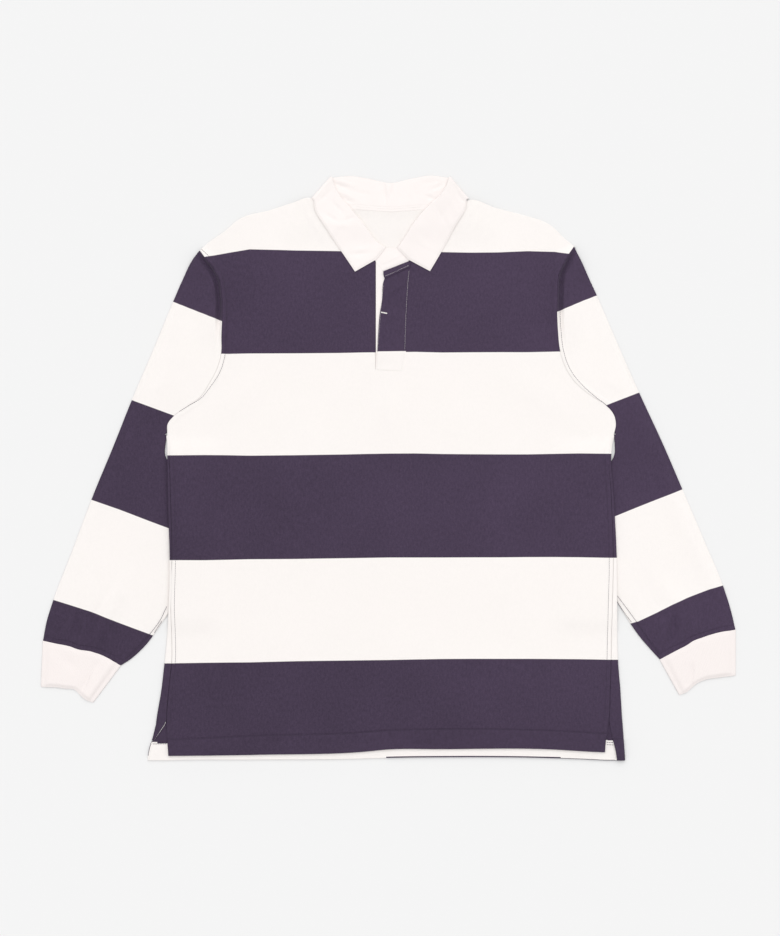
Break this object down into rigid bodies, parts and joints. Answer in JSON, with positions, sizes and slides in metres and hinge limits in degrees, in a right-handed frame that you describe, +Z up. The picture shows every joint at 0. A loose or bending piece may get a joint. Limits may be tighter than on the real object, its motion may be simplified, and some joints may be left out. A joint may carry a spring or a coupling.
{
  "type": "rugby shirt",
  "caption": "Long-sleeved striped rugby shirt laid out flat on its back, with a woven collar, half placket, knitted cuffs and side vents.",
  "frame": {"origin": "on the surface that the shirt lies on, under the middle of its plan box", "axes": "+X towards the wearer's left sleeve, +Y from the hem towards the collar, +Z up out of the surface, towards the shirt's front"},
  "size_m": [0.9344, 0.7829, 0.0073],
  "materials": {
    "striped_jersey": "matte cotton jersey, white with wide dark plum-navy bands",
    "navy_jersey": "matte cotton jersey, dark plum-navy",
    "white_twill": "matte white cotton twill",
    "white_rib": "matte white knitted cotton rib"
  },
  "bodies": {
    "root": {"back_panel": "striped_jersey", "front_panel": "striped_jersey", "sleeve_right": "striped_jersey", "sleeve_left": "striped_jersey", "cuff_right": "white_rib", "cuff_left": "white_rib", "collar": "white_twill", "neckband_end": "white_twill", "neck_tape": "white_twill", "placket_underlap": "white_twill", "placket_outer": "navy_jersey"}
  },
  "joints": []
}
